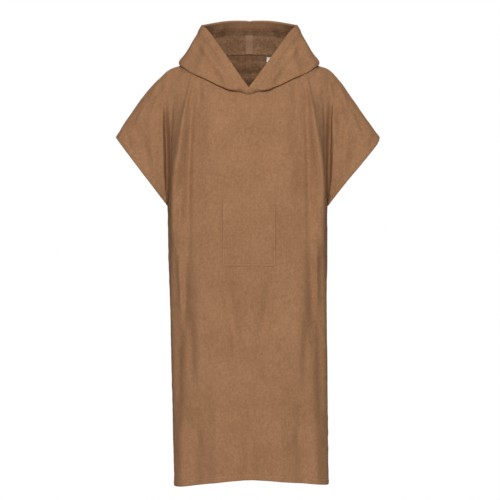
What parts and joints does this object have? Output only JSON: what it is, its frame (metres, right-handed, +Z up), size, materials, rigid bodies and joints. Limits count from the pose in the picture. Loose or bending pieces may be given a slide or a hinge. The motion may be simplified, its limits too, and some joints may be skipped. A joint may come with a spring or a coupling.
{
  "type": "hooded bath poncho, a terry towelling beach and changing robe with cap sleeves, filled out as worn",
  "caption": "Hooded towelling bath poncho in plain brown, worn pose, with cap sleeves, a slumped hood with hemmed face opening and a front patch pocket.",
  "frame": {"origin": "between the shoulders, at the level where the shoulder line meets the neck seam, where the wearer's shoulders hold the garment", "axes": "+Z up, +X towards the wearer's left, which is the right of the picture, +Y from the front of the garment to its back"},
  "size_m": [0.6983, 0.2986, 1.2355],
  "materials": {
    "towelling": "matte",
    "tape": "matte",
    "label": "satin"
  },
  "bodies": {
    "root": {"front_panel": "towelling", "back_panel": "towelling", "hood_left": "towelling", "hood_right": "towelling", "hood_seam_tape": "tape", "pocket": "towelling", "neck_label": "label"}
  },
  "joints": []
}
